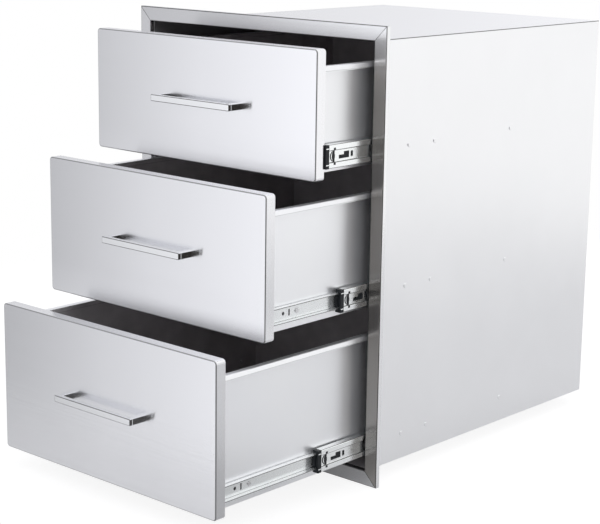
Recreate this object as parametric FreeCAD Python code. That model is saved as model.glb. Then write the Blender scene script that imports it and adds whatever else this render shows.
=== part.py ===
import FreeCAD, Part
import math
import os

from FreeCAD import Vector

os.makedirs("parts", exist_ok=True)

# Outdoor kitchen drawer unit: three drawers on ball-bearing slides in a built-in steel carcass.
# Lengths are millimetres. X runs across the unit, +Y into the counter and +Z up.
# The origin is at mid width, in the back plane of the front frame, on the carcass underside.

# Front frame: four mitred channels, each a folded sheet with two lips at the back
FRAME_WIDTH = 425.0
FRAME_HEIGHT = 573.0
FRAME_FACE = 19.0
FRAME_DEPTH = 7.2
FRAME_SHEET = 1.0
FRAME_BEND = 0.4
FRAME_LIP = 6.5
MITRE_GAP = 0.3

# Carcass: flat sheets, flush inside with the frame's opening
CARCASS_SHEET = 0.8
CARCASS_REAR_ROOM = 25.0

# Drawer fronts: a shallow pan closed at the back by a liner tray
FRONT_SIDE_GAP = 3.9
FRONT_GAP = 4.2
MIDDLE_FRONT_HEIGHT = 174.0
BOTTOM_FRONT_HEIGHT = 190.0
FRONT_DEPTH = 15.0
FRONT_SHEET = 1.0
FRONT_CORNER = 4.5
FRONT_EDGE = 1.6
LINER_SHEET = 1.0
LINER_EDGE = 10.0
LINER_FIT = 0.1

# Drawer box: sides with an outward hem and front flange, a bottom with downturned edges, a flanged back
BOX_SHEET = 1.0
BOX_BEND = 0.5
BOX_BELOW_TOP = 20.2
BOX_ABOVE_BOTTOM = 8.5
BOX_BOTTOM_EDGE = 6.0
BOX_BACK_INSET = 12.0
BOX_FIT = 0.2
HEM_WIDTH = 8.0
HEM_LIP = 7.0
FLANGE_ABOVE_SLIDE = 1.5

# Slides: three nested members, measured outward from the box wall; the drawer boxes are as long as they are
SLIDE_LENGTH = 450.0
SLIDE_SPACE = 12.7
SLIDE_SHEET = 1.0
SLIDE_BEND = 0.3
SLIDE_RISE = 19.7
OUTER_HEIGHT = 35.0
OUTER_FLANGE = 7.1
MID_HEIGHT = 28.3
MID_SHORTER = 10.0
MID_FLANGE = 8.6
MID_RECESS = 1.7
MID_RAIL = 7.0
INNER_HEIGHT = 19.4
INNER_END_ROOM = 0.2
FRONT_CLEARANCE = 0.3
OUTER_SETBACK = 2.2

# Ball cages
CAGE_SHEET = 0.3
CAGE_GAP = 0.1
CAGE_RUN_GAP = 0.3
CAGE_LENGTH = 200.0
CAGE_SETBACK = 120.0
CAGE_BAR = 4.6
BALL_GAP = 0.12
BALL_PLAY = 0.15
BALLS_PER_ROW = 5
BALL_END = 14.0

# Caps on the front ends of the middle members
CAP_LENGTH = 5.9
CAP_PLATE = 2.7
CAP_CLEARANCE = 0.3
TONGUE_LENGTH = 7.5
TONGUE_HEIGHT = 14.8
TONGUE_START = 3.0
TONGUE_END = 7.0
NOTCH_PLAY = 1.5

# Punched holes near the front end of the middle member, from its steel end
STEP_SLOT_START = 19.0
STEP_SLOT_LENGTH = 9.0
STEP_SLOT_HEIGHT = 4.5
MAIN_SLOT_LENGTH = 9.5
MAIN_SLOT_HEIGHT = 8.0
NARROW_SLOT_START = 40.4
NARROW_SLOT_LENGTH = 4.1
NARROW_SLOT_HEIGHT = 6.8
CRIMP_START = 3.3
CRIMP_LENGTH = 8.2
CRIMP_HEIGHT = 9.0
CRIMP_LINE = 0.9

# Punched holes near the front end of the drawer member, from the back of the front
HOLE_SETBACK = 24.0
HOLE_RADIUS = 2.2
UPRIGHT_SLOT_SETBACK = 33.0
UPRIGHT_SLOT_WIDTH = 2.4
UPRIGHT_SLOT_HEIGHT = 8.0

# Handle: a square bar on two square posts
HANDLE_CENTRES = 128.0
HANDLE_POST = 8.0
HANDLE_HEIGHT = 8.2
HANDLE_BAR_DEPTH = 6.5
HANDLE_PROJECTION = 20.0
HANDLE_CHAMFER = 0.45

# Fixings
SCREW_RADIUS = 1.95
SCREW_THREAD_FIT = 0.05
SCREW_HOLE_FIT = 0.25
SCREW_GRIP = 8.0
SCREW_TIP_ROOM = 1.0
SCREW_HEAD_RADIUS = 4.0
SCREW_HEAD_HEIGHT = 2.2
SCREW_HEAD_BEVEL = 0.7
SCREW_CROSS_WIDTH = 1.0
SCREW_CROSS_LENGTH = 4.4
SCREW_CROSS_DEPTH = 1.2
SPACER_RADIUS = 4.5
RIVET_RADIUS = 1.6
RIVET_HOLE_FIT = 0.1
RIVET_HEAD_RADIUS = 3.2
RIVET_HEAD_HEIGHT = 0.9
RIVET_BEVEL = 0.45
RIVET_TAIL_RADIUS = 2.3
RIVET_TAIL_HEIGHT = 0.9
FRONT_RIVET_MARGIN = 12.0
FRONT_RIVETS_PER_SIDE = 3
OUTER_RIVET_SETBACKS = (53.8, 105.3, 268.8)
INNER_RIVET_SETBACKS = (46.9, 206.9)
INNER_RIVET_FROM_BACK = 42.8

# How far each drawer and its middle members stand out in the modelled pose, top drawer first
DRAWER_PULL = (97.0, 180.0, 259.0)
MID_PULL = (97.0, 65.4, 101.4)

# How closely two positions must agree to count as one
SAME = 0.001

# Sizes that follow from those above
OPENING_WIDTH = FRAME_WIDTH - 2 * FRAME_FACE
OPENING_HEIGHT = FRAME_HEIGHT - 2 * FRAME_FACE
OPENING_BOTTOM = CARCASS_SHEET
FRAME_BOTTOM = OPENING_BOTTOM - FRAME_FACE
CARCASS_HEIGHT = OPENING_HEIGHT + 2 * CARCASS_SHEET
FRONT_WIDTH = OPENING_WIDTH - 2 * FRONT_SIDE_GAP
DRAWERS = len(DRAWER_PULL)
FRONT_ROOM = OPENING_HEIGHT - (DRAWERS + 1) * FRONT_GAP
TOP_FRONT_HEIGHT = FRONT_ROOM - MIDDLE_FRONT_HEIGHT - BOTTOM_FRONT_HEIGHT
FRONT_HEIGHTS = (TOP_FRONT_HEIGHT, MIDDLE_FRONT_HEIGHT, BOTTOM_FRONT_HEIGHT)
FRONT_FACE = -FRAME_DEPTH
FRONT_BACK = FRONT_FACE + FRONT_DEPTH
BOX_HALF = OPENING_WIDTH / 2 - SLIDE_SPACE
BOX_BACK = FRONT_BACK + SLIDE_LENGTH
CARCASS_DEPTH = BOX_BACK + CARCASS_REAR_ROOM
BOX_INSIDE = BOX_HALF - BOX_SHEET - BOX_FIT
SLIDE_FRONT = FRONT_BACK + FRONT_CLEARANCE
OUTER_FRONT = FRONT_BACK + OUTER_SETBACK
MID_FRONT = SLIDE_FRONT + CAP_LENGTH
OUTER_RIVET_PLACES = [OUTER_FRONT + setback for setback in OUTER_RIVET_SETBACKS]
INNER_RIVET_PLACES = [SLIDE_FRONT + setback for setback in INNER_RIVET_SETBACKS]
INNER_RIVET_PLACES.append(BOX_BACK - INNER_RIVET_FROM_BACK)
CAGE_FRONT = SLIDE_FRONT + CAGE_SETBACK
OUTER_WEB = SLIDE_SPACE - SLIDE_SHEET
MID_FACE = OUTER_WEB - 2 * CAGE_GAP - CAGE_SHEET
MID_WEB = MID_FACE - MID_RECESS - SLIDE_SHEET
INNER_TIP = MID_WEB - 2 * CAGE_RUN_GAP - CAGE_SHEET
INNER_LENGTH = BOX_BACK - INNER_END_ROOM - SLIDE_FRONT


def front_bottom(index):
    """Height of the lower edge of a drawer front; index 0 is the top drawer."""
    below = FRONT_HEIGHTS[index + 1:]
    return OPENING_BOTTOM + FRONT_GAP + sum(below) + FRONT_GAP * len(below)


def front_top(index):
    """Height of the upper edge of a drawer front."""
    return front_bottom(index) + FRONT_HEIGHTS[index]


def box_bottom(index):
    """Height of the underside of a drawer box."""
    return front_bottom(index) + BOX_ABOVE_BOTTOM


def box_top(index):
    """Height of the top of a drawer box's hem."""
    return front_top(index) - BOX_BELOW_TOP


def slide_height(index):
    """Height of the centre line of a drawer's slides."""
    return box_bottom(index) + SLIDE_RISE


def front_flange_bottom(index):
    """Height where a box side's front flange starts, above the cabinet member."""
    return slide_height(index) + OUTER_HEIGHT / 2 + FLANGE_ABOVE_SLIDE


def block(x0, x1, y0, y1, z0, z1):
    """A box between two values on each axis."""
    return Part.makeBox(x1 - x0, y1 - y0, z1 - z0, Vector(x0, y0, z0))


def mirrored(shape):
    """The same shape on the other side of the mid plane."""
    return shape.mirror(Vector(0, 0, 0), Vector(1, 0, 0))


def pair(shape):
    """A shape and its mirror image."""
    return [shape, mirrored(shape)]


def pulled(shape, distance):
    """A shape moved out of the carcass."""
    moved = shape.copy()
    moved.translate(Vector(0, -distance, 0))
    return moved


def sheet_side(path, sheet, bend, side):
    """Corner points of one skin of a folded sheet: straight ends and three points per bend."""
    centre_radius = bend + sheet / 2
    skin = []
    for i, (a, b) in enumerate(path):
        if i == 0 or i == len(path) - 1:
            near = path[1] if i == 0 else path[-2]
            sign = 1 if i == 0 else -1
            run = math.hypot(near[0] - a, near[1] - b)
            along = ((near[0] - a) * sign / run, (near[1] - b) * sign / run)
            offset = side * sheet / 2
            skin.append([(a - along[1] * offset, b + along[0] * offset)])
            continue
        before = path[i - 1]
        after = path[i + 1]
        run_in = math.hypot(a - before[0], b - before[1])
        run_out = math.hypot(after[0] - a, after[1] - b)
        way_in = ((a - before[0]) / run_in, (b - before[1]) / run_in)
        way_out = ((after[0] - a) / run_out, (after[1] - b) / run_out)
        turn = 1 if way_in[0] * way_out[1] - way_in[1] * way_out[0] > 0 else -1
        normal_in = (-way_in[1], way_in[0])
        normal_out = (-way_out[1], way_out[0])
        middle = (normal_in[0] + normal_out[0], normal_in[1] + normal_out[1])
        length = math.hypot(middle[0], middle[1])
        middle = (middle[0] / length, middle[1] / length)
        centre = (a - way_in[0] * centre_radius + normal_in[0] * turn * centre_radius,
                  b - way_in[1] * centre_radius + normal_in[1] * turn * centre_radius)
        radius = centre_radius - side * turn * sheet / 2
        skin.append([(centre[0] - n[0] * turn * radius, centre[1] - n[1] * turn * radius)
                     for n in (normal_in, middle, normal_out)])
    return skin


def folded(path, sheet, bend, place, sweep):
    """A sheet folded square along a centre line, placed by a function and swept straight."""
    left = sheet_side(path, sheet, bend, 1)
    right = sheet_side(path, sheet, bend, -1)
    loop = left + [list(reversed(corner)) for corner in reversed(right)]
    edges = []
    last = loop[-1][-1]
    for corner in loop:
        edges.append(Part.LineSegment(place(*last), place(*corner[0])).toShape())
        if len(corner) == 3:
            edges.append(Part.Arc(place(*corner[0]), place(*corner[1]), place(*corner[2])).toShape())
        last = corner[-1]
    return Part.Face(Part.Wire(edges)).extrude(sweep)


def turned(profile, base, axis):
    """A solid of revolution: profile points are (radius, height) above a base along an axis."""
    points = [Vector(radius, 0, height) for radius, height in profile]
    face = Part.Face(Part.makePolygon(points + [points[0]]))
    solid = face.revolve(Vector(0, 0, 0), Vector(0, 0, 1), 360)
    solid.Placement = FreeCAD.Placement(base, FreeCAD.Rotation(Vector(0, 0, 1), axis))
    return solid


def rod(radius, length, base, axis):
    """A round bar from a base point along an axis."""
    return Part.makeCylinder(radius, length, base, axis)


def rivet(base, axis, grip, tail=RIVET_TAIL_HEIGHT):
    """A rivet: head on the base plane, shank through the grip against the axis, and a tail."""
    head = RIVET_HEAD_HEIGHT
    profile = [(0, head), (RIVET_HEAD_RADIUS - RIVET_BEVEL, head), (RIVET_HEAD_RADIUS, head - RIVET_BEVEL),
               (RIVET_HEAD_RADIUS, 0), (RIVET_RADIUS, 0), (RIVET_RADIUS, -grip)]
    if tail:
        profile += [(RIVET_TAIL_RADIUS, -grip), (RIVET_TAIL_RADIUS - RIVET_BEVEL, -grip - tail),
                    (0, -grip - tail)]
    else:
        profile += [(0, -grip)]
    return turned(profile, base, axis)


def frame_channel(place, sweep):
    """One side of the frame before mitring: place maps the distance in from its edge and Y."""
    half = FRAME_SHEET / 2
    front = -FRAME_DEPTH + half
    inner = FRAME_FACE - half
    path = [(FRAME_FACE - FRAME_LIP, -half), (inner, -half), (inner, front),
            (half, front), (half, -half), (FRAME_LIP, -half)]
    return folded(path, FRAME_SHEET, FRAME_BEND, place, sweep)


def mitre(corners):
    """A prism through the frame's depth, whose slanted ends cut a side to its mitres."""
    outline = [Vector(x, -FRAME_DEPTH, z) for x, z in corners]
    face = Part.Face(Part.makePolygon(outline + [outline[0]]))
    return face.extrude(Vector(0, FRAME_DEPTH, 0))


def frame_rail(edge, inward):
    """A level side of the frame; edge is its outer height and inward its direction in Z."""
    left = -FRAME_WIDTH / 2
    bar = frame_channel(lambda a, b: Vector(left, b, edge + inward * a), Vector(FRAME_WIDTH, 0, 0))
    outer = FRAME_WIDTH / 2 - MITRE_GAP / math.sqrt(2)
    inner = outer - FRAME_FACE
    depth = edge + inward * FRAME_FACE
    return bar.common(mitre([(-outer, edge), (outer, edge), (inner, depth), (-inner, depth)]))


def frame_stile(edge, inward):
    """An upright side of the frame; edge is its outer X and inward its direction in X."""
    bar = frame_channel(lambda a, b: Vector(edge + inward * a, b, FRAME_BOTTOM), Vector(0, 0, FRAME_HEIGHT))
    low = FRAME_BOTTOM + MITRE_GAP / math.sqrt(2)
    high = FRAME_BOTTOM + FRAME_HEIGHT - MITRE_GAP / math.sqrt(2)
    inner = edge + inward * FRAME_FACE
    corners = [(edge, low), (edge, high), (inner, high - FRAME_FACE), (inner, low + FRAME_FACE)]
    return bar.common(mitre(corners))


def frame_nodes():
    """The four sides of the front frame."""
    half = FRAME_WIDTH / 2
    return {
        "frame_top": frame_rail(FRAME_BOTTOM + FRAME_HEIGHT, -1),
        "frame_bottom": frame_rail(FRAME_BOTTOM, 1),
        "frame_left": frame_stile(-half, 1),
        "frame_right": frame_stile(half, -1),
    }


def outer_rivet_points():
    """Places of the rivets that hold the cabinet members to the right carcass side."""
    outside = OPENING_WIDTH / 2 + CARCASS_SHEET
    return [Vector(outside, place, slide_height(i)) for i in range(DRAWERS) for place in OUTER_RIVET_PLACES]


def carcass_nodes():
    """The five flat panels behind the frame."""
    half = OPENING_WIDTH / 2
    low = CARCASS_SHEET
    high = CARCASS_HEIGHT - CARCASS_SHEET
    right = block(half, half + CARCASS_SHEET, 0, CARCASS_DEPTH, 0, CARCASS_HEIGHT)
    for point in outer_rivet_points():
        right = right.cut(rod(RIVET_RADIUS + RIVET_HOLE_FIT, CARCASS_SHEET, point, Vector(-1, 0, 0)))
    return {
        "carcass_right": right,
        "carcass_left": mirrored(right),
        "carcass_top": block(-half, half, 0, CARCASS_DEPTH, high, CARCASS_HEIGHT),
        "carcass_bottom": block(-half, half, 0, CARCASS_DEPTH, 0, low),
        "carcass_back": block(-half, half, CARCASS_DEPTH - CARCASS_SHEET, CARCASS_DEPTH, low, high),
    }


def outer_rivets():
    """Rivets through both carcass sides, flush inside the cabinet members."""
    grip = CARCASS_SHEET + SLIDE_SHEET
    rivets = []
    for point in outer_rivet_points():
        rivets += pair(rivet(point, Vector(1, 0, 0), grip, tail=0))
    return Part.makeCompound(rivets)


def member(path, front, length, height):
    """A slide member: a folded section swept along the slide at a height."""
    return folded(path, SLIDE_SHEET, SLIDE_BEND,
                  lambda s, z: Vector(BOX_HALF + s, front, height + z), Vector(0, length, 0))


def web_cut(s, y0, y1, z0, z1):
    """A cutter through a member's web, whose inner face is s from the box wall."""
    return block(BOX_HALF + s - SLIDE_SHEET, BOX_HALF + s + 2 * SLIDE_SHEET, y0, y1, z0, z1)


def outer_member(index):
    """The cabinet members, riveted to the carcass sides."""
    height = slide_height(index)
    half = SLIDE_SHEET / 2
    web = SLIDE_SPACE - half
    edge = OUTER_HEIGHT / 2 - half
    tip = SLIDE_SPACE - OUTER_FLANGE
    path = [(tip, edge), (web, edge), (web, -edge), (tip, -edge)]
    solid = member(path, OUTER_FRONT, SLIDE_LENGTH, height)
    for place in OUTER_RIVET_PLACES:
        start = Vector(BOX_HALF + SLIDE_SPACE, place, height)
        solid = solid.cut(rod(RIVET_RADIUS + RIVET_HOLE_FIT, SLIDE_SHEET, start, Vector(-1, 0, 0)))
    return Part.makeCompound(pair(solid))


def crimp(height):
    """Two curved cuts through the middle member's web, like a pair of brackets."""
    radius = CRIMP_HEIGHT / 2
    middle = MID_FRONT + CRIMP_START + CRIMP_LENGTH / 2
    x = BOX_HALF + MID_WEB - SLIDE_SHEET
    depth = 3 * SLIDE_SHEET
    spread = CRIMP_LENGTH / 2
    cuts = []
    for side in (-1, 1):
        centre = Vector(x, middle + side * (spread - radius), height)
        ring = rod(radius, depth, centre, Vector(1, 0, 0))
        ring = ring.cut(rod(radius - CRIMP_LINE, depth, centre, Vector(1, 0, 0)))
        near = middle + side * CRIMP_LINE
        far = middle + side * CRIMP_LENGTH
        keep = block(x, x + depth, min(near, far), max(near, far), height - radius / 2, height + radius / 2)
        cuts.append(ring.common(keep))
    return cuts


def mid_member(index):
    """The middle members, with rail bands on both edges of a recessed web."""
    height = slide_height(index)
    half = SLIDE_SHEET / 2
    band = MID_FACE - half
    web = MID_WEB + half
    edge = MID_HEIGHT / 2 - half
    rail = MID_HEIGHT / 2 - MID_RAIL
    tip = MID_FACE - MID_FLANGE
    path = [(tip, edge), (band, edge), (band, rail), (web, rail),
            (web, -rail), (band, -rail), (band, -edge), (tip, -edge)]
    solid = member(path, MID_FRONT, SLIDE_LENGTH - MID_SHORTER, height)
    step = MID_FRONT + STEP_SLOT_START
    main = step + STEP_SLOT_LENGTH
    narrow = MID_FRONT + NARROW_SLOT_START
    low = height - MAIN_SLOT_HEIGHT / 2
    cuts = [
        web_cut(MID_WEB, step, main + SLIDE_SHEET, low, low + STEP_SLOT_HEIGHT),
        web_cut(MID_WEB, main, main + MAIN_SLOT_LENGTH, low, low + MAIN_SLOT_HEIGHT),
        web_cut(MID_WEB, narrow, narrow + NARROW_SLOT_LENGTH,
                height - NARROW_SLOT_HEIGHT / 2, height + NARROW_SLOT_HEIGHT / 2),
    ]
    for cut in cuts + crimp(height):
        solid = solid.cut(cut)
    return Part.makeCompound(pair(solid))


def inner_member(index):
    """The drawer members, riveted to the box sides."""
    height = slide_height(index)
    half = SLIDE_SHEET / 2
    edge = INNER_HEIGHT / 2 - half
    path = [(INNER_TIP, edge), (half, edge), (half, -edge), (INNER_TIP, -edge)]
    solid = member(path, SLIDE_FRONT, INNER_LENGTH, height)
    hole = Vector(BOX_HALF, FRONT_BACK + HOLE_SETBACK, height)
    solid = solid.cut(rod(HOLE_RADIUS, SLIDE_SHEET, hole, Vector(1, 0, 0)))
    slot = FRONT_BACK + UPRIGHT_SLOT_SETBACK
    reach = UPRIGHT_SLOT_HEIGHT / 2
    solid = solid.cut(web_cut(0, slot, slot + UPRIGHT_SLOT_WIDTH, height - reach, height + reach))
    for place in INNER_RIVET_PLACES:
        start = Vector(BOX_HALF, place, height)
        solid = solid.cut(rod(RIVET_RADIUS + RIVET_HOLE_FIT, SLIDE_SHEET, start, Vector(1, 0, 0)))
    return Part.makeCompound(pair(solid))


def inner_rivets(index):
    """Rivets from the drawer members' channels through the box sides."""
    rivets = []
    for place in INNER_RIVET_PLACES:
        base = Vector(BOX_HALF + SLIDE_SHEET, place, slide_height(index))
        rivets += pair(rivet(base, Vector(1, 0, 0), SLIDE_SHEET + BOX_SHEET))
    return Part.makeCompound(rivets)


def slide_cap(index):
    """Moulded caps on the middle members, each with a tongue inside the drawer member."""
    height = slide_height(index)
    start = SLIDE_FRONT
    half = MID_HEIGHT / 2
    inside = BOX_HALF + MID_FACE - MID_FLANGE
    outside = BOX_HALF + MID_FACE
    clear = INNER_HEIGHT / 2 + CAP_CLEARANCE
    plate_inside = outside - CAP_PLATE
    tongue_front = MID_FRONT - TONGUE_LENGTH
    tongue_half = TONGUE_HEIGHT / 2
    solid = block(plate_inside, outside, start, MID_FRONT, height - half, height + half)
    solid = solid.fuse(block(inside, outside, start, MID_FRONT, height + clear, height + half))
    solid = solid.fuse(block(inside, outside, start, MID_FRONT, height - half, height - clear))
    solid = solid.fuse(block(BOX_HALF + TONGUE_START, outside - CAP_PLATE / 2, start, MID_FRONT,
                             height - tongue_half, height + tongue_half))
    solid = solid.fuse(block(BOX_HALF + TONGUE_START, BOX_HALF + TONGUE_END, tongue_front, MID_FRONT,
                             height - tongue_half, height + tongue_half))
    return Part.makeCompound(pair(solid.removeSplitter()))


def ball_places():
    """Distances of the balls along a cage."""
    pitch = (CAGE_LENGTH - 2 * BALL_END) / (BALLS_PER_ROW - 1)
    return [CAGE_FRONT + BALL_END + pitch * i for i in range(BALLS_PER_ROW)]


def cage(height, strip, low, high):
    """One cage with its balls: a strip at a distance from the wall, and bars between two heights."""
    x = BOX_HALF + strip
    y0 = CAGE_FRONT
    y1 = CAGE_FRONT + CAGE_LENGTH
    radius = (high - low) / 2 - BALL_GAP
    bar_low = low + BALL_PLAY
    bar_high = high - BALL_PLAY
    solid = block(x, x + CAGE_SHEET, y0, y1, height - bar_high, height + bar_high)
    balls = []
    for side in (-1, 1):
        edges = sorted([height + side * bar_low, height + side * bar_high])
        solid = solid.fuse(block(x - CAGE_BAR, x, y0, y1, edges[0], edges[1]))
        middle = height + side * (low + high) / 2
        for place in ball_places():
            centre = Vector(x - CAGE_BAR / 2, place, middle)
            foot = Vector(centre.x, centre.y, edges[0])
            solid = solid.cut(rod(radius + BALL_PLAY, edges[1] - edges[0], foot, Vector(0, 0, 1)))
            balls.append(Part.makeSphere(radius, centre))
    pieces = []
    for piece in [solid] + balls:
        pieces += pair(piece)
    return Part.makeCompound(pieces)


def outer_cage(index):
    """Cages between the cabinet members and the middle members."""
    return cage(slide_height(index), MID_FACE + CAGE_GAP, MID_HEIGHT / 2, OUTER_HEIGHT / 2 - SLIDE_SHEET)


def inner_cage(index):
    """Cages between the middle members and the drawer members."""
    return cage(slide_height(index), INNER_TIP + CAGE_RUN_GAP, INNER_HEIGHT / 2, MID_HEIGHT / 2 - SLIDE_SHEET)


def rounded_block(half_width, low, high, front, back, corner):
    """A block whose four corners, seen from the front, are rounded."""
    solid = block(-half_width, half_width, front, back, low, high)
    depth_edges = [e for e in solid.Edges if abs(e.BoundBox.YLength - (back - front)) < SAME]
    return solid.makeFillet(corner, depth_edges)


def rounded_tray(half_width, low, high, front, back, corner, edge):
    """A rounded block with a rounded front edge, closed at its front."""
    solid = rounded_block(half_width, low, high, front, back, corner)
    front_edges = [e for e in solid.Edges if e.BoundBox.YMax < front + SAME]
    return solid.makeFillet(edge, front_edges)


def handle_height(index):
    """Height of the handle's centre line, at mid height of its front."""
    return (front_bottom(index) + front_top(index)) / 2


def handle_screw_rods(index, radius, y0, y1):
    """Round bars on the axes of the handle screws, as cutters."""
    return [rod(radius, y1 - y0, Vector(side * HANDLE_CENTRES / 2, y0, handle_height(index)), Vector(0, 1, 0))
            for side in (-1, 1)]


def front_rivet_points(index):
    """Places on the right where the box side's front flange is riveted to the liner."""
    low = front_flange_bottom(index) + FRONT_RIVET_MARGIN
    high = box_top(index) - FRONT_RIVET_MARGIN
    pitch = (high - low) / (FRONT_RIVETS_PER_SIDE - 1)
    x = BOX_HALF + HEM_WIDTH / 2
    return [Vector(x, FRONT_BACK + BOX_SHEET, low + pitch * i) for i in range(FRONT_RIVETS_PER_SIDE)]


def rivet_cuts(points, depth):
    """Cutters for rivet holes that run forward from some points, on both sides."""
    cuts = []
    for point in points:
        cuts += pair(rod(RIVET_RADIUS + RIVET_HOLE_FIT, depth, point, Vector(0, -1, 0)))
    return cuts


def front_pan(index):
    """The outer skin of a drawer front, open at the back."""
    low = front_bottom(index)
    high = front_top(index)
    half = FRONT_WIDTH / 2
    solid = rounded_tray(half, low, high, FRONT_FACE, FRONT_BACK, FRONT_CORNER, FRONT_EDGE)
    hollow = rounded_tray(half - FRONT_SHEET, low + FRONT_SHEET, high - FRONT_SHEET, FRONT_FACE + FRONT_SHEET,
                          FRONT_BACK, FRONT_CORNER - FRONT_SHEET, FRONT_EDGE - FRONT_SHEET)
    solid = solid.cut(hollow)
    for hole in handle_screw_rods(index, SCREW_RADIUS + SCREW_HOLE_FIT, FRONT_FACE, FRONT_FACE + FRONT_SHEET):
        solid = solid.cut(hole)
    return solid


def front_liner(index):
    """The tray that closes the back of a front, notched where the slide caps' tongues pass."""
    inset = FRONT_SHEET + LINER_FIT
    low = front_bottom(index) + inset
    high = front_top(index) - inset
    half = FRONT_WIDTH / 2 - inset
    start = FRONT_BACK - LINER_EDGE
    corner = FRONT_CORNER - inset
    solid = rounded_block(half, low, high, start, FRONT_BACK, corner)
    solid = solid.cut(rounded_block(half - LINER_SHEET, low + LINER_SHEET, high - LINER_SHEET, start,
                                    FRONT_BACK - LINER_SHEET, corner - LINER_SHEET))
    reach = TONGUE_HEIGHT / 2 + NOTCH_PLAY
    middle = slide_height(index)
    notch_side = BOX_HALF + TONGUE_START - NOTCH_PLAY
    notch = block(notch_side, half, start, FRONT_BACK, middle - reach, middle + reach)
    cuts = pair(notch)
    cuts += handle_screw_rods(index, SCREW_RADIUS + SCREW_HOLE_FIT, FRONT_BACK - LINER_SHEET, FRONT_BACK)
    cuts += rivet_cuts(front_rivet_points(index), BOX_SHEET + LINER_SHEET)
    for cut in cuts:
        solid = solid.cut(cut)
    return solid


def front_rivets(index):
    """Rivets that join the box sides to the liner."""
    rivets = []
    for point in front_rivet_points(index):
        rivets += pair(rivet(point, Vector(0, 1, 0), BOX_SHEET + LINER_SHEET))
    return Part.makeCompound(rivets)


def hemmed(wall, hem, low, high):
    """Centre line of a wall with a hem and a lip on top, between two heights."""
    half = BOX_SHEET / 2
    return [(wall, low), (wall, high - half), (hem, high - half), (hem, high - HEM_LIP)]


def box_side(index):
    """The right side of a drawer box: a wall, an outward hem and an outward front flange."""
    low = box_bottom(index)
    high = box_top(index)
    half = BOX_SHEET / 2
    wall = BOX_HALF - half
    path = hemmed(wall, BOX_HALF + HEM_WIDTH - half, low, high)
    sweep = Vector(0, SLIDE_LENGTH, 0)
    solid = folded(path, BOX_SHEET, BOX_BEND, lambda x, z: Vector(x, FRONT_BACK, z), sweep)
    flange = block(wall, BOX_HALF + HEM_WIDTH - BOX_SHEET, FRONT_BACK, FRONT_BACK + BOX_SHEET,
                   front_flange_bottom(index), high - BOX_SHEET)
    solid = solid.fuse(flange).removeSplitter()
    for point in front_rivet_points(index):
        solid = solid.cut(rod(RIVET_RADIUS + RIVET_HOLE_FIT, BOX_SHEET, point, Vector(0, -1, 0)))
    for place in INNER_RIVET_PLACES:
        start = Vector(BOX_HALF, place, slide_height(index))
        solid = solid.cut(rod(RIVET_RADIUS + RIVET_HOLE_FIT, BOX_SHEET, start, Vector(-1, 0, 0)))
    return solid


def box_floor(index):
    """The bottom of a drawer box, with downturned edges between the sides."""
    low = box_bottom(index)
    edge = BOX_INSIDE - BOX_SHEET / 2
    level = low + BOX_BOTTOM_EDGE - BOX_SHEET / 2
    path = [(-edge, low), (-edge, level), (edge, level), (edge, low)]
    start = FRONT_BACK + BOX_FIT
    return folded(path, BOX_SHEET, BOX_BEND, lambda x, z: Vector(x, start, z), Vector(0, BOX_BACK - start, 0))


def box_back_panel(index):
    """The back of a drawer box, standing on the bottom, with a hem and flanges that point backwards."""
    low = box_bottom(index) + BOX_BOTTOM_EDGE
    high = box_top(index)
    half = BOX_SHEET / 2
    wall = BOX_BACK - BOX_BACK_INSET + half
    path = hemmed(wall, BOX_BACK - half, low, high)
    sweep = Vector(2 * BOX_INSIDE, 0, 0)
    solid = folded(path, BOX_SHEET, BOX_BEND, lambda y, z: Vector(-BOX_INSIDE, y, z), sweep)
    flange = block(BOX_INSIDE - BOX_SHEET, BOX_INSIDE, wall, BOX_BACK - BOX_SHEET, low, high - BOX_SHEET)
    for piece in pair(flange):
        solid = solid.fuse(piece)
    return solid.removeSplitter()


def handle(index):
    """A square bar on two square posts, cut from one outline and chamfered."""
    height = handle_height(index)
    outer = (HANDLE_CENTRES + HANDLE_POST) / 2
    inner = (HANDLE_CENTRES - HANDLE_POST) / 2
    foot = FRONT_FACE
    front = foot - HANDLE_PROJECTION
    back = front + HANDLE_BAR_DEPTH
    outline = [(-outer, foot), (-outer, front), (outer, front), (outer, foot),
               (inner, foot), (inner, back), (-inner, back), (-inner, foot)]
    low = height - HANDLE_HEIGHT / 2
    points = [Vector(x, y, low) for x, y in outline]
    solid = Part.Face(Part.makePolygon(points + [points[0]])).extrude(Vector(0, 0, HANDLE_HEIGHT))
    edges = [e for e in solid.Edges if e.BoundBox.YMin < foot - SAME and not inside_corner(e, inner, back)]
    solid = solid.makeChamfer(HANDLE_CHAMFER, edges)
    deep = foot - SCREW_GRIP - SCREW_TIP_ROOM
    for hole in handle_screw_rods(index, SCREW_RADIUS + SCREW_THREAD_FIT, deep, foot):
        solid = solid.cut(hole)
    return solid


def inside_corner(edge, inner, back):
    """Whether an edge is one of the two upright corners between a post and the bar."""
    box = edge.BoundBox
    return box.ZLength > 1 and abs(abs(box.XMin) - inner) < SAME and abs(box.YMin - back) < SAME


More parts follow.
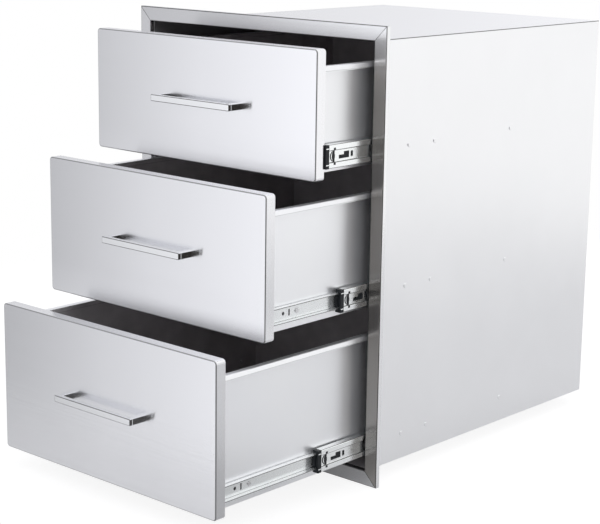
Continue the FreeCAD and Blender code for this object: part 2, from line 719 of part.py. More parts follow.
def handle_fixings(index):
    """The handle's screws, with spacers that keep the front's two skins apart."""
    height = handle_height(index)
    depth = FRONT_DEPTH + SCREW_GRIP
    profile = [(0, SCREW_HEAD_HEIGHT), (SCREW_HEAD_RADIUS - SCREW_HEAD_BEVEL, SCREW_HEAD_HEIGHT),
               (SCREW_HEAD_RADIUS, SCREW_HEAD_HEIGHT - SCREW_HEAD_BEVEL), (SCREW_HEAD_RADIUS, 0),
               (SCREW_RADIUS, 0), (SCREW_RADIUS, -depth), (0, -depth)]
    reach = SCREW_CROSS_LENGTH / 2
    slot = SCREW_CROSS_WIDTH / 2
    top = FRONT_BACK + SCREW_HEAD_HEIGHT
    pieces = []
    for side in (-1, 1):
        x = side * HANDLE_CENTRES / 2
        screw = turned(profile, Vector(x, FRONT_BACK, height), Vector(0, 1, 0))
        for across, up in ((reach, slot), (slot, reach)):
            floor = top - SCREW_CROSS_DEPTH
            screw = screw.cut(block(x - across, x + across, floor, top, height - up, height + up))
        start = Vector(x, FRONT_FACE + FRONT_SHEET, height)
        length = FRONT_DEPTH - FRONT_SHEET - LINER_SHEET
        spacer = rod(SPACER_RADIUS, length, start, Vector(0, 1, 0))
        spacer = spacer.cut(rod(SCREW_RADIUS + SCREW_HOLE_FIT, length, start, Vector(0, 1, 0)))
        pieces += [screw, spacer]
    return Part.makeCompound(pieces)


def drawer_nodes(index):
    """Everything that belongs to one drawer and its pair of slides."""
    number = index + 1
    drawer = DRAWER_PULL[index]
    mid = MID_PULL[index]
    side = box_side(index)
    moving = {
        "front_pan": front_pan(index),
        "front_liner": front_liner(index),
        "front_rivets": front_rivets(index),
        "box_right": side,
        "box_left": mirrored(side),
        "box_bottom": box_floor(index),
        "box_back": box_back_panel(index),
        "handle": handle(index),
        "handle_fixings": handle_fixings(index),
        "slide_inner": inner_member(index),
        "slide_inner_rivets": inner_rivets(index),
    }
    nodes = {f"{name}_{number}": pulled(shape, drawer) for name, shape in moving.items()}
    nodes[f"slide_mid_{number}"] = pulled(mid_member(index), mid)
    nodes[f"slide_cap_{number}"] = pulled(slide_cap(index), mid)
    nodes[f"outer_cage_{number}"] = pulled(outer_cage(index), mid / 2)
    nodes[f"inner_cage_{number}"] = pulled(inner_cage(index), (mid + drawer) / 2)
    nodes[f"slide_outer_{number}"] = outer_member(index)
    return nodes


def all_nodes():
    """Every node of the unit by name."""
    nodes = {}
    nodes.update(frame_nodes())
    nodes.update(carcass_nodes())
    nodes["slide_outer_rivets"] = outer_rivets()
    for index in range(DRAWERS):
        nodes.update(drawer_nodes(index))
    return nodes


for name, shape in all_nodes().items():
    shape.exportStep(f"parts/{name}.step")
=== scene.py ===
import bmesh
import bpy
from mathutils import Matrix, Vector


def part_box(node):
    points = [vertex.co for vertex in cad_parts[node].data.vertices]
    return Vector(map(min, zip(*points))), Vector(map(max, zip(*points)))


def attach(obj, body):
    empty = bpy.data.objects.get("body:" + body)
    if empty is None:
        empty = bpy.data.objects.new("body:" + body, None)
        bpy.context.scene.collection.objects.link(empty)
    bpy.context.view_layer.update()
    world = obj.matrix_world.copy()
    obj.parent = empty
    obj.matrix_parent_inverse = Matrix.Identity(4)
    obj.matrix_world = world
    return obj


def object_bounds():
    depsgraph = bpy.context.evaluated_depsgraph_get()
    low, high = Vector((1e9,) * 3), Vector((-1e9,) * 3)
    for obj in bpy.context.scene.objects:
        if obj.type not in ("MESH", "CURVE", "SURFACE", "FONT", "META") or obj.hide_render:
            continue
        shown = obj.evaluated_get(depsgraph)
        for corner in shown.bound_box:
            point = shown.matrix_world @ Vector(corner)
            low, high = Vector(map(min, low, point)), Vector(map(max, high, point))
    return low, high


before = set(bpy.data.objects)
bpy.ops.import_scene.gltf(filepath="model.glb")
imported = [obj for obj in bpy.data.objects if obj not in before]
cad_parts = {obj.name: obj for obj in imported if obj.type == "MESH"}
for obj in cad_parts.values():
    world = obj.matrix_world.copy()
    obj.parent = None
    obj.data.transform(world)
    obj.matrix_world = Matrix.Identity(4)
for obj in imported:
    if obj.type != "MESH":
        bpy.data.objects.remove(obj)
cad_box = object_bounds()

# Outdoor kitchen drawer unit in brushed stainless steel, with its drawers partly open.
# Metres. X runs across the unit, +Y into the counter and +Z up.

DRAWERS = (1, 2, 3)

# Camera, fitted to the photograph
CAMERA_PLACE = (1.4408, -1.52153, 0.71043)
CAMERA_TURN = (1.3485025, -0.0139843, 0.7350664)
CAMERA_LENS = 99.14
SENSOR_WIDTH = 36.0

# Softbox over the unit
SOFTBOX_PLACE = (0.4, 0.3, 2.4)
SOFTBOX_AIM = (0.0, 0.1, 0.3)
SOFTBOX_SIZE = 1.6
SOFTBOX_POWER = 3.0

# Floor: a pale plane just under the object, with painted shade in its corner beside the drawers
FLOOR_DROP = 0.0002
FLOOR_X = (-1.1, 1.3)
FLOOR_Y = (-0.55, 1.6)
FLOOR_FADE = 0.25
FLOOR_ALBEDO = 0.66
FLOOR_ROUGHNESS = 0.9
CORNER_PAINTED_SHADE = 0.42
CORNER_X = (0.19, 0.21)
CORNER_Y = (0.02, -0.1)

# How the camera sees the floor: a white glow, a share of soft shadow, and a share of both in reflections
FLOOR_WHITE = 0.86
FLOOR_SHADOW = 0.22
FLOOR_MIRRORED = 0.15

# Room in front of the unit: brightness by how far a direction turns left
ROOM_BY_LEFT = ((0.0, 1.06), (0.55, 1.08), (0.66, 1.1), (0.7, 0.9), (0.74, 0.76), (0.79, 0.52), (0.88, 0.46),
                (1.0, 0.85))
COOL_TINT = (0.988, 0.992, 1.02)

# Room behind the unit: from full to dimmed, and how far left it is mirrored as plain white
BACK_LEFT = (0.5, 0.69)
BACK_DIM = 0.8
BACKDROP_NONE = 0.5
BACKDROP_FULL = 0.35

# Dark zone on the photographer's side: the level direction of its middle, and its colour
DARK_WAY = (0.743, -0.669)
DARK_COLOUR = (0.062, 0.055, 0.05, 1.0)

# Its half width in radians, wide under DARK_LOW and narrow over DARK_HIGH, with the share that is fully dark,
# and the heights between which it fades out above
DARK_LOW = -0.3
DARK_HIGH = -0.13
DARK_WIDE = 0.55
DARK_NARROW = 0.36
DARK_CORE = 0.7
DARK_TOP = (0.25, 0.62)

# Smallest level part of a direction, so that nothing is divided by zero
SMALLEST = 0.0001

# Least part of a normal along an axis, for a face that leans to it, looks along it or stands square to it
LEANS_TO = 0.3
LOOKS_ALONG = 0.5
SQUARE_TO = 0.9

# Where a narrow bend starts to show and shows fully, and the share of a line's half width that shows fully
BEND_RANGE = (0.08, 0.35)
LINE_CORE = 0.6

# The middle range of a noise value
NOISE_LOW = 0.3
NOISE_HIGH = 0.7
NO_OFFSET = (0.0, 0.0, 0.0)

# Brushed steel: scratches per metre across and along the grain, tones and relief
FINE_GRAIN = (2600.0, 12.0)
BROAD_GRAIN = (420.0, 2.2)
BROAD_OFFSET = (3.1, 1.7, 5.3)
GRAIN_CLOUD = (5.0, 5.0, 5.0)
GRAIN_CLOUD_OFFSET = (7.7, 2.9, 0.4)
GRAIN_CLOUD_LOW = 0.35
GRAIN_CLOUD_SHARE = 0.5
GRAIN_CLOUD_TONE = 0.97
STREAK_RANGE = (0.32, 0.68)
STREAK = 0.012
GRAIN_SMOOTHER = 0.03
GRAIN_ROUGHER = 0.04
GRAIN_STRENGTH = 0.006
GRAIN_DEPTH = 0.0003
LEVEL_GRAIN_TURN = 0.25
UPRIGHT_GRAIN_TURN = 0.0

# Satin sheet, and the matt finish of inner faces, whose dark default colour is painted shade
SATIN_CLOUD = (9.0, 9.0, 9.0)
SATIN_OFFSET = (2.2, 8.1, 4.4)
SATIN_FINE = (900.0, 900.0, 900.0)
SATIN_TONES = (0.985, 1.01)
SATIN_ROUGHNESS = 0.3
SATIN_SPREAD = 0.02
SATIN_STRENGTH = 0.01
SATIN_DEPTH = 0.0002
DULL_CLOUD = (30.0, 30.0, 30.0)
DULL_TONES = (0.75, 1.35)
DULL_ROUGHNESS = 0.55
INSIDE_PAINTED_SHADE = (0.44, 0.42, 0.43, 1.0)

# Trim frame: its outline, steel, mitre lines, painted shade on its bends, and a painted highlight on its
# outer return
FRAME_HALF_WIDTH = 0.2125
FRAME_MIDDLE = 0.2683
FRAME_HALF_HEIGHT = 0.2865
FRAME_COLOUR = (0.68, 0.68, 0.695)
FRAME_ROUGHNESS = 0.22
FRAME_ANISOTROPY = 0.8
MITRE_LINE = 0.0007
MITRE_SHADE = 0.7
RIM_PAINTED_SHADE = 0.7
RETURN_HIGHLIGHT_COLOUR = (0.92, 0.925, 0.935, 1.0)

# Painted shade makes the right stile warmer and darker, and a painted highlight makes stile and top rail
# lighter towards their shared corner
STILE_PAINTED_SHADE_COLOUR = (0.7, 0.675, 0.645)
STILE_LIGHT = (0.47, 0.535)
STILE_PAINTED_SHADE = 0.38
STILE_CORNER_Z = (0.49, 0.55)
RAIL_CORNER_X = (-0.02, 0.2)
CORNER_HIGHLIGHT_COLOUR = (0.93, 0.935, 0.95, 1.0)

# Carcass sheets, darkened inside with painted shade, with a seam where the top laps over the sides
CARCASS_SIDE = 0.1943
CARCASS_TOP = 0.5366
SEAM = 0.0011
SEAM_EDGE = 0.7
SEAM_SHADE = 0.85
SIDE_COLOUR = (0.93, 0.933, 0.945)
SIDE_ROUGHNESS = 0.32
SIDE_INSIDE_PAINTED_SHADE = (0.14, 0.137, 0.14, 1.0)
TOP_COLOUR = (0.88, 0.88, 0.9)
SHEET_COLOUR = (0.88, 0.885, 0.9)
SHEET_ROUGHNESS = 0.15

# Drawer fronts, with painted shade that darkens them towards their left edge
FRONT_COLOUR = (0.925, 0.928, 0.95)
FRONT_ROUGHNESS = 0.18
FRONT_ANISOTROPY = 0.75
FRONT_SIDE_BENDS = 0.65
FRONT_LEVEL_BENDS = 0.5
FRONT_DARK_X = -0.19
FRONT_LIGHT_X = 0.0
FRONT_PAINTED_SHADE = 0.11

# Painted shade on the ends of the fronts, darker towards the floor
ENDS_DARK_Z = 0.2
ENDS_LIGHT_Z = 0.42
ENDS_PAINTED_SHADE = 0.15

# Height of each front's lower edge, and the margin above it that is shaded as if it leant back a little
FRONT_LOW = (0.3774, 0.1992, 0.005)
LEAN_MARGIN = (0.032, 0.042, 0.032)
LEAN = (0.065, 0.095, 0.065)

# Drawer boxes, with x of a side's outer face and a margin inside it
WALL_COLOUR = (0.97, 0.978, 1.0)
WALL_ROUGHNESS = 0.31
WALL_METALLIC = 0.82
BOX_WALL = 0.1805
WALL_MARGIN = 0.0003
BOX_COLOUR = (0.86, 0.865, 0.88)
LINER_COLOUR = (0.8, 0.8, 0.81)
LINER_DULL = (0.72, 0.72, 0.73, 1.0)

# The hem on top of a box side, with a painted shadow line under it
HEM_HEIGHT = 0.006
HEM_ROUND = 0.25
HEM_PAINTED_SHADOW = 0.3

# The part of a box side behind the punched marks of the drawer member, darkened with painted shade, from the
# front end of the side
HOLES_MIDDLE = 0.0285
HOLES_REACH = 0.0075
HOLES_HALF = 0.0045
HOLES_PAINTED_SHADE = 0.92

# Handles: a bright line where bar and post meet, painted shade on the ends, and a painted shade outline round
# the bar's front face
CHROME_TONES = ((0.93, 0.94, 0.955, 1.0), (0.97, 0.975, 0.985, 1.0))
CHROME_MARKS = (60.0, 900.0, 900.0)
CHROME_ROUGHNESS = (0.04, 0.09)
CHROME_END_PAINTED_SHADE = 0.55
POST_LINE = 0.0045
POST_LINE_HALF = 0.0007
OUTLINE = 0.0008
OUTLINE_PAINTED_SHADE = 0.75

# Zinc plate of the slides, with painted shade lines along creases and edges at heights above and below the
# middle of a slide
ZINC_TONES = ((0.93, 0.955, 0.96, 1.0), (0.975, 0.99, 0.99, 1.0))
ZINC_CLOUD = (60.0, 40.0, 60.0)
ZINC_FINE = (500.0, 60.0, 500.0)
ZINC_OFFSET = (1.1, 4.2, 2.3)
ZINC_ROUGHNESS = (0.2, 0.24)
ZINC_STRENGTH = 0.003
ZINC_DEPTH = 0.0003
RAIL_METALLIC = {"slide_mid": 1.0, "slide_inner": 0.75}
RAIL_EDGES = {"slide_mid": (0.00715, 0.01415), "slide_inner": (0.0088, 0.0097)}
BAND_LINE = 0.0005
BAND_PAINTED_SHADE = 0.75

# Black plastic of the caps, whose black also serves as painted shade on the stamped stops and slot backings
PLASTIC_TONES = ((0.008, 0.01, 0.012, 1.0), (0.018, 0.021, 0.025, 1.0))
PLASTIC_GRAIN = (1800.0, 1800.0, 1800.0)
PLASTIC_ROUGHNESS = (0.38, 0.5)
PLASTIC_SPECULAR = 0.25
PLASTIC_STRENGTH = 0.15
PLASTIC_DEPTH = 0.0002

# Plain steel of the fixings and cages
FIXING_CLOUD = (400.0, 400.0, 400.0)
FIXING_TONES = (0.85, 1.1)
FIXING_ROUGHNESS = (0.22, 0.36)
RIVET_COLOUR = (0.74, 0.74, 0.75)
CAGE_COLOUR = (0.6, 0.6, 0.62)

# Thin pieces on the middle members: x of the web and the rail bands, and outlines in (y, z)
WEB_FACE = 0.1903
BAND_FACE = 0.192
STOP_PLACE = 0.0071
STOP_SHEET = 0.0003
BAND_SHEET = 0.00015
SOFT_EDGE = 0.00004
THIN_BOW = ((-0.0004, 0.0062), (-0.0034, 0.0028), (-0.004, 0.0), (-0.0034, -0.0028), (-0.0004, -0.0062),
            (-0.0002, -0.0048), (-0.0021, -0.0022), (-0.0025, 0.0), (-0.0021, 0.0022), (-0.0002, 0.0048))
THICK_BOW = ((0.0008, 0.0068), (0.0042, 0.0068), (0.004, 0.0035), (0.0046, 0.0015), (0.0046, -0.0015),
             (0.004, -0.0035), (0.0042, -0.0068), (0.0008, -0.0068), (0.0006, -0.0045), (-0.0004, -0.002),
             (-0.0004, 0.002), (0.0006, 0.0045))
STOP_BLOCK = ((0.001, 0.0073), (0.0044, 0.0073), (0.0044, 0.0102), (0.001, 0.0102))
LIP_HEIGHT = 0.0097
CAP_LIP = ((0.0006, -0.0006), (0.0054, -0.0006), (0.0054, 0.0006), (0.0006, 0.0006))

# Dark backing behind the punched slots, a sheet of painted shade seen through them
BACKING_FACE = 0.1893
BACKING_SHEET = 0.0001
SLOT_BACKING = ((0.0185, -0.0045), (0.0385, -0.0045), (0.0385, 0.0045), (0.0275, 0.0045), (0.0275, -0.0015),
                (0.0185, -0.0015))
NARROW_BACKING = ((0.0398, -0.003), (0.0451, -0.003), (0.0451, 0.003), (0.0398, 0.003))


def grey(level):
    """A neutral colour."""
    return (level, level, level, 1.0)


def cool(level):
    """A faintly blue grey."""
    return tuple(level * tint for tint in COOL_TINT) + (1.0,)


def scaled(colour, factor):
    """A colour made lighter or darker."""
    return tuple(min(1.0, c * factor) for c in colour[:3]) + (1.0,)


class Graph:
    """Nodes added to a tree in short calls."""

    def __init__(self, tree):
        self.tree = tree

    def node(self, kind, settings=None, values=None):
        """A node with its settings and input values; a value may be another node's output."""
        made = self.tree.nodes.new(kind)
        for key, value in (settings or {}).items():
            setattr(made, key, value)
        for key, value in (values or {}).items():
            self.feed(made.inputs[key], value)
        return made

    def feed(self, socket, value):
        """Sets a socket, or links it if the value is an output."""
        if isinstance(value, bpy.types.NodeSocket):
            self.tree.links.new(value, socket)
        else:
            socket.default_value = value

    def math(self, operation, first, second=0.0, third=0.0):
        """One arithmetic step."""
        made = self.node("ShaderNodeMath", {"operation": operation})
        for socket, value in zip(made.inputs, (first, second, third)):
            self.feed(socket, value)
        return made.outputs[0]

    def times(self, first, second):
        """A product, which also joins two masks."""
        return self.math("MULTIPLY", first, second)

    def above(self, value, edge):
        """1 where a value is above an edge."""
        return self.math("GREATER_THAN", value, edge)

    def below(self, value, edge):
        """1 where a value is below an edge."""
        return self.math("LESS_THAN", value, edge)

    def unsigned(self, value):
        """A value without its sign."""
        return self.math("ABSOLUTE", value)

    def distance(self, value, place):
        """How far a value is from a place."""
        return self.unsigned(self.math("SUBTRACT", value, place))

    def line(self, value, place, half):
        """1 on a thin line where a value equals a place."""
        return self.ramp(self.distance(value, place), half * LINE_CORE, half, 1.0, 0.0)

    def ramp(self, value, low, high, out_low, out_high):
        """A value moved from one range to another, without overshoot."""
        made = self.node("ShaderNodeMapRange", {"clamp": True}, {
            "Value": value, "From Min": low, "From Max": high, "To Min": out_low, "To Max": out_high})
        return made.outputs["Result"]

    def mix(self, factor, first, second):
        """A blend of two colours."""
        made = self.node("ShaderNodeMix", {"data_type": "RGBA"})
        self.feed(made.inputs[0], factor)
        self.feed(made.inputs[6], first)
        self.feed(made.inputs[7], second)
        return made.outputs[2]

    def blend(self, factor, first, second):
        """A blend of two numbers."""
        made = self.node("ShaderNodeMix", {"data_type": "FLOAT"})
        self.feed(made.inputs[0], factor)
        self.feed(made.inputs[2], first)
        self.feed(made.inputs[3], second)
        return made.outputs[0]

    def either(self, factor, first, second):
        """A blend of two shaders."""
        made = self.node("ShaderNodeMixShader")
        for socket, value in zip(made.inputs, (factor, first, second)):
            self.feed(socket, value)
        return made.outputs[0]

    def parts(self, vector):
        """The three parts of a vector."""
        return self.node("ShaderNodeSeparateXYZ", values={"Vector": vector}).outputs


class Surface(Graph):
    """A material built from nodes round one Principled shader."""

    def __init__(self, name):
        self.material = bpy.data.materials.new(name)
        self.material.use_nodes = True
        super().__init__(self.material.node_tree)
        self.shader = self.tree.nodes["Principled BSDF"]

    def set(self, **values):
        """Sets or links the shader's own sockets."""
        for key, value in values.items():
            self.feed(self.shader.inputs[key.replace("_", " ")], value)

    def now(self, key):
        """What a socket of the shader has at the moment."""
        socket = self.shader.inputs[key]
        return socket.links[0].from_socket if socket.links else socket.default_value

    def place(self):
        """Position in the object's own frame, which is the part's frame at rest."""
        return self.node("ShaderNodeTexCoord").outputs["Object"]

    def xyz(self):
        """The three parts of the position."""
        return self.parts(self.place())

    def normal(self):
        """The three parts of the surface normal in the object's frame."""
        return self.parts(self.node("ShaderNodeTexCoord").outputs["Normal"])

    def noise(self, scale, detail, offset=NO_OFFSET):
        """Noise stretched differently along each axis; scale is per metre."""
        mapped = self.node("ShaderNodeMapping", values={
            "Vector": self.place(), "Scale": scale, "Location": offset})
        made = self.node("ShaderNodeTexNoise", values={
            "Vector": mapped.outputs["Vector"], "Scale": 1.0, "Detail": detail})
        return made.outputs["Fac"]

    def spread(self, value, low, high):
        """A noise value spread over a range."""
        return self.ramp(value, NOISE_LOW, NOISE_HIGH, low, high)

    def bump(self, height, strength, distance):
        """Fine relief from a height value."""
        made = self.node("ShaderNodeBump", values={
            "Height": height, "Strength": strength, "Distance": distance})
        self.set(Normal=made.outputs["Normal"])

    def curve(self, height):
        """Shading of a broad curve, from a height in metres, under the fine relief."""
        made = self.node("ShaderNodeBump", values={"Height": height, "Strength": 1.0, "Distance": 1.0})
        fine = self.shader.inputs["Normal"].links[0].from_node
        self.feed(fine.inputs["Normal"], made.outputs["Normal"])

    def tangent(self):
        """Level direction round the upright axis, for brushed reflections."""
        made = self.node("ShaderNodeTangent", {"direction_type": "RADIAL", "axis": "Z"})
        self.set(Tangent=made.outputs["Tangent"])

    def shade(self, mask, strength):
        """Darkens the base colour where a mask is 1, by a share of it."""
        self.set(Base_Color=self.mix(self.times(mask, strength), self.now("Base Color"), grey(0.0)))

    def cover(self, mask, colour):
        """Puts a colour over the base colour where a mask is 1."""
        self.set(Base_Color=self.mix(mask, self.now("Base Color"), colour))

    def dull(self, mask, colour=INSIDE_PAINTED_SHADE):
        """Turns the masked faces into matt sheet with faint mottling, in the given colour: dark painted shade
        by default and on the carcass sides, light grey on the liners.
        """
        cloud = self.noise(DULL_CLOUD, 4.0)
        low, high = DULL_TONES
        self.cover(mask, self.mix(cloud, scaled(colour, low), scaled(colour, high)))
        self.set(Roughness=self.blend(mask, self.now("Roughness"), DULL_ROUGHNESS))
        self.set(Metallic=self.blend(mask, self.now("Metallic"), 0.0))


def off_middle(surface, node):
    """Height above or below the middle of a CAD node."""
    low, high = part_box(node)
    return surface.distance(surface.xyz()[2], (low[2] + high[2]) / 2)


def along(axis, grain):
    """Noise scale for scratches along one axis."""
    across, lengthwise = grain
    return tuple(lengthwise if i == axis else across for i in range(3))


def brushed(name, colour, axis, roughness, anisotropy):
    """Brushed stainless steel with its grain along one axis."""
    surface = Surface(name)
    fine = surface.noise(along(axis, FINE_GRAIN), 4.0)
    broad = surface.noise(along(axis, BROAD_GRAIN), 3.0, BROAD_OFFSET)
    cloud = surface.noise(GRAIN_CLOUD, 2.0, GRAIN_CLOUD_OFFSET)
    streaks = surface.math("MULTIPLY_ADD", broad, 0.5, surface.times(fine, 0.5))
    tone = surface.ramp(streaks, STREAK_RANGE[0], STREAK_RANGE[1], 0.0, 1.0)
    base = surface.mix(tone, scaled(colour, 1.0 - STREAK), scaled(colour, 1.0 + STREAK))
    patches = surface.ramp(cloud, GRAIN_CLOUD_LOW, NOISE_HIGH, 0.0, GRAIN_CLOUD_SHARE)
    surface.set(Base_Color=surface.mix(patches, base, scaled(colour, GRAIN_CLOUD_TONE)))
    surface.set(Roughness=surface.spread(streaks, roughness - GRAIN_SMOOTHER, roughness + GRAIN_ROUGHER))
    turn = UPRIGHT_GRAIN_TURN if axis == 2 else LEVEL_GRAIN_TURN
    surface.set(Metallic=1.0, Anisotropic=anisotropy, Anisotropic_Rotation=turn)
    surface.tangent()
    surface.bump(fine, GRAIN_STRENGTH, GRAIN_DEPTH)
    return surface


def satin(name, colour, roughness=SATIN_ROUGHNESS):
    """Mill-finish sheet: smooth and slightly cloudy, with no grain."""
    surface = Surface(name)
    cloud = surface.noise(SATIN_CLOUD, 3.0, SATIN_OFFSET)
    fine = surface.noise(SATIN_FINE, 3.0)
    low, high = SATIN_TONES
    patches = surface.spread(cloud, 0.0, 1.0)
    surface.set(Base_Color=surface.mix(patches, scaled(colour, low), scaled(colour, high)))
    surface.set(Roughness=surface.spread(cloud, roughness - SATIN_SPREAD, roughness + SATIN_SPREAD))
    surface.set(Metallic=1.0)
    surface.bump(fine, SATIN_STRENGTH, SATIN_DEPTH)
    return surface


def zinc(name):
    """Bright zinc-plated sheet with faint spangle."""
    surface = Surface(name)
    cloud = surface.noise(ZINC_CLOUD, 2.0)
    fine = surface.noise(ZINC_FINE, 3.0, ZINC_OFFSET)
    surface.set(Base_Color=surface.mix(cloud, *ZINC_TONES))
    surface.set(Roughness=surface.spread(fine, *ZINC_ROUGHNESS))
    surface.set(Metallic=1.0)
    surface.bump(fine, ZINC_STRENGTH, ZINC_DEPTH)
    return surface


def plastic(name):
    """Black moulded plastic with a fine matt texture."""
    surface = Surface(name)
    grain = surface.noise(PLASTIC_GRAIN, 2.0)
    surface.set(Base_Color=surface.mix(grain, *PLASTIC_TONES))
    surface.set(Roughness=surface.spread(grain, *PLASTIC_ROUGHNESS))
    surface.set(Specular_IOR_Level=PLASTIC_SPECULAR)
    surface.bump(grain, PLASTIC_STRENGTH, PLASTIC_DEPTH)
    return surface


def fixing(name, colour):
    """Plain steel of rivets, screws, balls and cages."""
    surface = Surface(name)
    cloud = surface.noise(FIXING_CLOUD, 2.0)
    low, high = FIXING_TONES
    surface.set(Base_Color=surface.mix(cloud, scaled(colour, low), scaled(colour, high)))
    surface.set(Roughness=surface.spread(cloud, *FIXING_ROUGHNESS))
    surface.set(Metallic=1.0)
    return surface


def chrome(n):
    """Polished chrome of a handle, with hairline wipe marks, and painted shade on its ends and round the
    bar's front face.
    """
    surface = Surface(f"polished_chrome_{n}")
    marks = surface.noise(CHROME_MARKS, 2.0)
    surface.set(Base_Color=surface.mix(marks, *CHROME_TONES))
    surface.set(Roughness=surface.spread(marks, *CHROME_ROUGHNESS))
    surface.set(Metallic=1.0)
    low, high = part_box(f"handle_{n}")
    x, y, _ = surface.xyz()
    nx, ny, _ = surface.normal()
    meeting = low[1] + POST_LINE
    plain = surface.math("SUBTRACT", 1.0, surface.line(y, meeting, POST_LINE_HALF))
    # Painted shade on the handle's ends, except the line where bar and post meet
    surface.shade(surface.times(surface.above(surface.unsigned(nx), SQUARE_TO), plain), CHROME_END_PAINTED_SHADE)
    # Painted shade outline round the bar's front face
    border = surface.math("MAXIMUM",
                          surface.above(off_middle(surface, f"handle_{n}"), (high[2] - low[2]) / 2 - OUTLINE),
                          surface.above(surface.unsigned(x), high[0] - OUTLINE))
    surface.shade(surface.times(border, surface.below(ny, -LEANS_TO)), OUTLINE_PAINTED_SHADE)
    away = surface.distance(y, meeting)
    depth = surface.math("SUBTRACT", away, POST_LINE_HALF)
    surface.bump(surface.times(depth, surface.below(away, POST_LINE_HALF)), 1.0, 1.0)
    return surface


def side_inside(surface):
    """Faces of a side wall or panel that look towards the mid plane."""
    inward = surface.times(surface.math("SIGN", surface.xyz()[0]), surface.normal()[0])
    return surface.below(inward, -LOOKS_ALONG)


def wall_inside(surface):
    """As side_inside, but only on the wall itself and not on its hem."""
    near = surface.below(surface.unsigned(surface.xyz()[0]), BOX_WALL - WALL_MARGIN)
    return surface.times(side_inside(surface), near)


def axis_inside(surface, part, sign):
    """Faces that look along one axis in one direction."""
    return surface.above(surface.times(surface.normal()[part], sign), LOOKS_ALONG)


def bends(surface, edge, ny):
    """1 on the narrow bends between a face that looks along Y and its edges."""
    return surface.ramp(surface.unsigned(surface.times(edge, ny)), BEND_RANGE[0], BEND_RANGE[1], 0.0, 1.0)


def mitres(surface):
    """Thin dark lines where the four sides of the trim frame meet."""
    x, _, z = surface.xyz()
    across = surface.math("SUBTRACT", FRAME_HALF_WIDTH, surface.unsigned(x))
    upright = surface.math("SUBTRACT", FRAME_HALF_HEIGHT, surface.distance(z, FRAME_MIDDLE))
    front = surface.below(surface.normal()[1], -LOOKS_ALONG)
    surface.shade(surface.times(surface.line(across, upright, MITRE_LINE), front), MITRE_SHADE)


def rims(surface):
    """Paints shade on the narrow bends round the face of the trim frame."""
    nx, ny, nz = surface.normal()
    edge = surface.math("MAXIMUM", surface.unsigned(nx), surface.unsigned(nz))
    surface.shade(bends(surface, edge, ny), RIM_PAINTED_SHADE)


def corner_painted_highlight(surface, part, span):
    """Paints a highlight on the trim frame, growing towards its upper right corner."""
    surface.cover(surface.ramp(surface.xyz()[part], span[0], span[1], 0.0, 1.0), CORNER_HIGHLIGHT_COLOUR)


def return_painted_highlight(surface):
    """Paints a highlight on the outer return of the trim frame, making it brighter than its face."""
    surface.cover(surface.above(surface.unsigned(surface.normal()[0]), SQUARE_TO), RETURN_HIGHLIGHT_COLOUR)


def seam(surface, part):
    """A thin dark line where the carcass top laps over the sides."""
    edge = CARCASS_TOP if part == 2 else CARCASS_SIDE
    value = surface.unsigned(surface.xyz()[part])
    surface.shade(surface.ramp(value, edge - SEAM, edge - SEAM * SEAM_EDGE, 0.0, 1.0), SEAM_SHADE)


def front_bend_painted_shade(surface):
    """Paints shade on the narrow bends between a front's face and its edges."""
    nx, ny, nz = surface.normal()
    for edge, strength in ((nx, FRONT_SIDE_BENDS), (nz, FRONT_LEVEL_BENDS)):
        surface.shade(bends(surface, edge, ny), strength)


def front_and_ends_painted_shade(surface):
    """Paints shade on a front, softly darker to the left, and on its ends, darker towards the floor."""
    x, _, z = surface.xyz()
    surface.shade(surface.ramp(x, FRONT_DARK_X, FRONT_LIGHT_X, 1.0, 0.0), FRONT_PAINTED_SHADE)
    ends = surface.above(surface.unsigned(surface.normal()[0]), SQUARE_TO)
    surface.shade(surface.times(ends, surface.ramp(z, ENDS_DARK_Z, ENDS_LIGHT_Z, 1.0, 0.0)), ENDS_PAINTED_SHADE)


def front_lean(surface, n):
    """Shades the lower margin of a front as if it leant back towards its lower bend."""
    low = FRONT_LOW[n - 1]
    margin = LEAN_MARGIN[n - 1]
    rise = surface.ramp(surface.xyz()[2], low, low + margin, 0.0, 1.0)
    curve = surface.math("SUBTRACT", surface.times(rise, 2.0), surface.times(rise, rise))
    surface.curve(surface.times(curve, -LEAN[n - 1] * margin / 2))


def hem(surface, top):
    """The folded upper edge of a box side, which is rounded and catches the light above, with a painted
    shadow line under it.
    """
    z = surface.xyz()[2]
    surface.curve(surface.ramp(z, top - HEM_HEIGHT, top, 0.0, -HEM_HEIGHT * HEM_ROUND))
    side = surface.above(surface.unsigned(surface.normal()[0]), LEANS_TO)
    surface.shade(surface.times(surface.line(z, top - HEM_HEIGHT, BAND_LINE), side), HEM_PAINTED_SHADOW)


def painted_shade_behind_holes(surface, n):
    """Paints shade on the box side where it shows through the punched marks of the drawer member."""
    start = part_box(f"box_right_{n}")[0][1]
    level = surface.below(off_middle(surface, f"slide_inner_{n}"), HOLES_HALF)
    near = surface.below(surface.distance(surface.xyz()[1], start + HOLES_MIDDLE), HOLES_REACH)
    surface.shade(surface.times(level, near), HOLES_PAINTED_SHADE)


def painted_shade_lines(surface, node, edges):
    """Painted shade lines along a slide's creases and edges, at heights measured from its middle."""
    off = off_middle(surface, node)
    side = surface.above(surface.unsigned(surface.normal()[0]), LEANS_TO)
    for edge in edges:
        surface.shade(surface.times(surface.line(off, edge, BAND_LINE), side), BAND_PAINTED_SHADE)


def paint(node, surface):
    """Gives a CAD node a material."""
    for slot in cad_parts[node].material_slots:
        slot.material = surface.material


